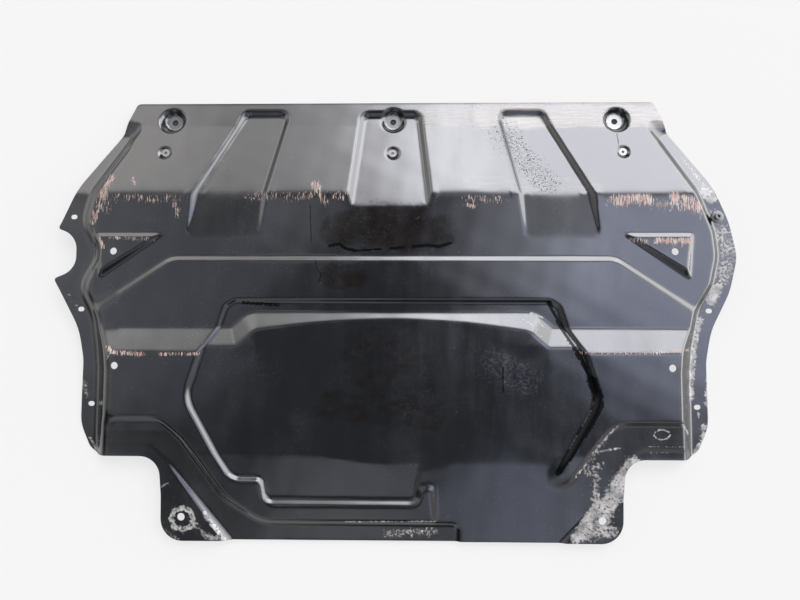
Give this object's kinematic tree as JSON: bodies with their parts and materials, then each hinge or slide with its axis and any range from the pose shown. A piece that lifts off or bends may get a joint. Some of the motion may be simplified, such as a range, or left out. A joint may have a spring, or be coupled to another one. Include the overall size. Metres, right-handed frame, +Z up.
{
  "type": "engine splash shield",
  "caption": "Pressed sheet-steel splash shield that bolts under a car's engine bay; a shallow pan with side flanges, bolt cups along the front edge and mounting lugs at the rear.",
  "frame": {"origin": "centre of the footprint, on the floor the shield lies on", "axes": "X across the car, Y toward the front edge with the bolt cups, Z up out of the outer face"},
  "size_m": [1.0195, 0.6609, 0.0364],
  "materials": {
    "black_paint": "semi-gloss black paint, scraped and rusted on the proud edges",
    "zinc_steel": "dull zinc plate"
  },
  "bodies": {
    "root": {"shield_panel": "black_paint", "front_rivet_nuts": "zinc_steel", "flange_screw": "zinc_steel"}
  },
  "joints": []
}
